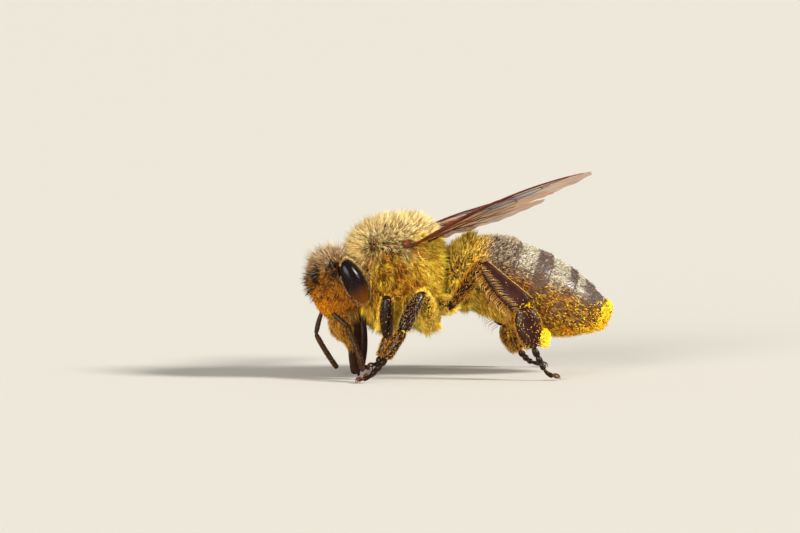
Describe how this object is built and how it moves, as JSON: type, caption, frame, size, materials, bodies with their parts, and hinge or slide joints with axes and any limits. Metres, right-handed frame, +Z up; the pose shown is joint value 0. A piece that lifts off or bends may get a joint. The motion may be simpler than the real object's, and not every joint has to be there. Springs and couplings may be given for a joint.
{
  "type": "honey bee worker, still life-size model",
  "caption": "Life-size still model of a worker honey bee standing with bowed head, tongue down, wings half raised and pollen-dusted coat.",
  "frame": {"origin": "middle of the bounding box at floor level, under the waist", "axes": "+X from head to tail, +Y to the bee's right side, +Z up; the feet stand on z = 0"},
  "size_m": [0.0137, 0.0104, 0.0094],
  "materials": {
    "gold_fur": "golden branched hair over dark shell",
    "band_fur": "short felted hair in pale and dark bands over glossy shell",
    "eye": "glossy faceted dome, dark brown",
    "brown_shell": "smooth red-brown shell",
    "dark_shell": "satin black-brown shell with fine hair",
    "wing_skin": "thin clear membrane, smoky amber, with brown veins",
    "pollen": "powdery yellow grains"
  },
  "bodies": {
    "root": {"abdomen_1": "gold_fur", "abdomen_2": "band_fur", "abdomen_3": "band_fur", "abdomen_4": "band_fur", "abdomen_5": "band_fur", "abdomen_6": "band_fur", "eye_left": "eye", "eye_right": "eye", "feeler_left_flagellum": "dark_shell", "feeler_left_scape": "dark_shell", "feeler_right_flagellum": "dark_shell", "feeler_right_scape": "dark_shell", "forewing_left": "wing_skin", "forewing_right": "wing_skin", "head": "gold_fur", "hindwing_left": "wing_skin", "hindwing_right": "wing_skin", "jaw_left": "brown_shell", "jaw_right": "brown_shell", "leg_fore_left_basitarsus": "dark_shell", "leg_fore_left_coxa": "brown_shell", "leg_fore_left_femur": "dark_shell", "leg_fore_left_tarsus": "dark_shell", "leg_fore_left_tibia": "dark_shell", "leg_fore_right_basitarsus": "dark_shell", "leg_fore_right_coxa": "brown_shell", "leg_fore_right_femur": "dark_shell", "leg_fore_right_tarsus": "dark_shell", "leg_fore_right_tibia": "dark_shell", "leg_hind_left_basitarsus": "dark_shell", "leg_hind_left_coxa": "brown_shell", "leg_hind_left_femur": "dark_shell", "leg_hind_left_tarsus": "dark_shell", "leg_hind_left_tibia": "dark_shell", "leg_hind_right_basitarsus": "dark_shell", "leg_hind_right_coxa": "brown_shell", "leg_hind_right_femur": "dark_shell", "leg_hind_right_tarsus": "dark_shell", "leg_hind_right_tibia": "dark_shell", "leg_mid_left_basitarsus": "dark_shell", "leg_mid_left_coxa": "brown_shell", "leg_mid_left_femur": "dark_shell", "leg_mid_left_tarsus": "dark_shell", "leg_mid_left_tibia": "dark_shell", "leg_mid_right_basitarsus": "dark_shell", "leg_mid_right_coxa": "brown_shell", "leg_mid_right_femur": "dark_shell", "leg_mid_right_tarsus": "dark_shell", "leg_mid_right_tibia": "dark_shell", "tegula_left": "brown_shell", "tegula_right": "brown_shell", "thorax": "gold_fur", "tongue": "brown_shell"}
  },
  "joints": []
}
